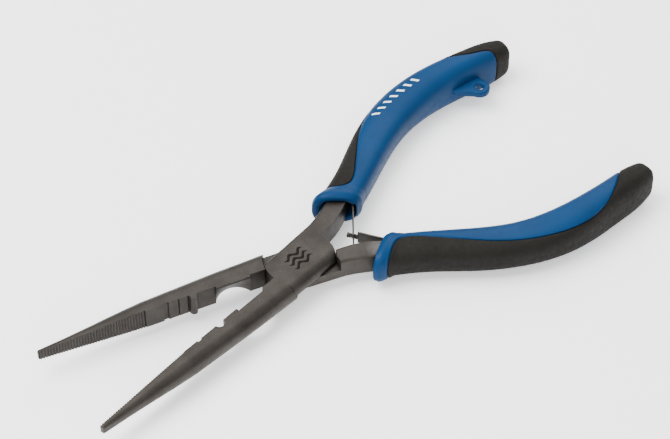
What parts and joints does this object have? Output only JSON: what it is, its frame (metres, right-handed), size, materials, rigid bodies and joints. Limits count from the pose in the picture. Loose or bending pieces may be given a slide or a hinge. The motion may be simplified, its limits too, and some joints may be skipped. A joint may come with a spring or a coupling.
{
  "type": "fishing pliers",
  "caption": "Long-nose fishing pliers with a lap joint, a side cutter, interlocked return springs, two-colour grips and a lanyard eye.",
  "frame": {"origin": "where the pivot's axis meets the underside of the joint", "axes": "+X towards the handles along the middle line between them, -X towards the jaw tips, +Z along the pivot's axis, up through the joint"},
  "size_m": [0.2075, 0.0936, 0.017],
  "materials": {
    "lever_steel": "fine blasted, satin",
    "rivet_steel": "turned, satin",
    "blue_plastic": "satin moulded",
    "dark_rubber": "matt moulded",
    "spring_steel": "dark spring temper"
  },
  "bodies": {
    "upper_half": {"upper_lever": "lever_steel", "pivot_rivet": "rivet_steel", "upper_grip_sleeve": "blue_plastic", "upper_grip_overmould": "dark_rubber", "upper_spring_root": "spring_steel", "upper_spring_rivet": "rivet_steel"},
    "lower_half": {"lower_lever": "lever_steel", "lower_grip_sleeve": "blue_plastic", "lower_grip_overmould": "dark_rubber", "lower_spring_root": "spring_steel", "lower_spring_rivet": "rivet_steel"},
    "upper_leaf": {"upper_spring_leaf": "spring_steel"},
    "lower_leaf": {"lower_spring_leaf": "spring_steel"}
  },
  "joints": [
    {"name": "pivot", "type": "hinge", "parent": "upper_half", "child": "lower_half", "pos_m": [0, 0, 0], "axis": [0, 0, 1], "range_deg": [-4, 22.9], "stiffness_Nm_per_rad": 1},
    {"name": "upper_leaf_bend", "type": "hinge", "parent": "upper_half", "child": "upper_leaf", "pos_m": [0.03247, 0.01345, 0], "axis": [0, 0, 1], "range_deg": [-17.7, 3.2]},
    {"name": "lower_leaf_bend", "type": "hinge", "parent": "lower_half", "child": "lower_leaf", "pos_m": [0.03247, -0.01345, 0], "axis": [0, 0, 1], "range_deg": [-3.2, 17.7]}
  ],
  "couplings": [
    {"joint": "upper_leaf_bend", "follows": "pivot", "ratio": -0.7686},
    {"joint": "lower_leaf_bend", "follows": "pivot", "ratio": 0.7686}
  ]
}
